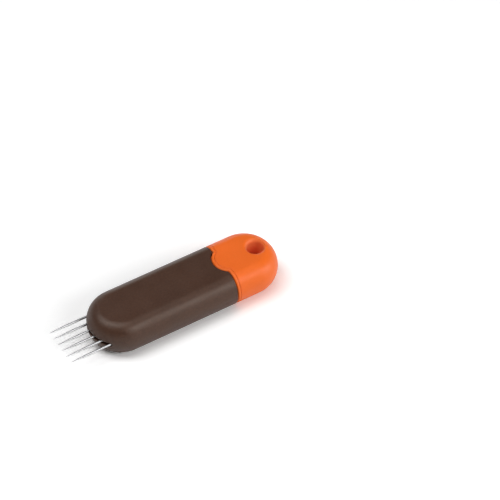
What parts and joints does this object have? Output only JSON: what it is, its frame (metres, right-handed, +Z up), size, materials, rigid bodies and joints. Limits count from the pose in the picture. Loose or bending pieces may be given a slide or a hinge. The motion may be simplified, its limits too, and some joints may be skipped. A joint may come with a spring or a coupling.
{
  "type": "clay scoring tool",
  "caption": "Pocket clay scoring tool: a sleeve slides on a carrier to bare or cover a row of steel needles, with a lanyard hole in its head.",
  "frame": {"origin": "under the middle of the overall length, on the flat underside, with the needles out", "axes": "+X along the tool from the needle tips to the head, +Y across it, +Z up, out of its flat top"},
  "size_m": [0.1008, 0.028, 0.0164],
  "materials": {
    "sleeve_plastic": "dark brown satin moulding",
    "head_plastic": "orange satin moulding",
    "block_plastic": "uncoloured moulding",
    "needle_steel": "bright drawn steel"
  },
  "bodies": {
    "sleeve_body": {"sleeve": "sleeve_plastic"},
    "head_body": {"head_cap": "head_plastic", "carrier": "head_plastic", "needle_block": "block_plastic", "needle_1": "needle_steel", "needle_2": "needle_steel", "needle_3": "needle_steel", "needle_4": "needle_steel", "needle_5": "needle_steel", "needle_6": "needle_steel"}
  },
  "joints": [
    {"name": "sleeve_slide", "type": "slide", "parent": "sleeve_body", "child": "head_body", "axis": [1, 0, 0], "range_m": [0, 0.0185]}
  ]
}
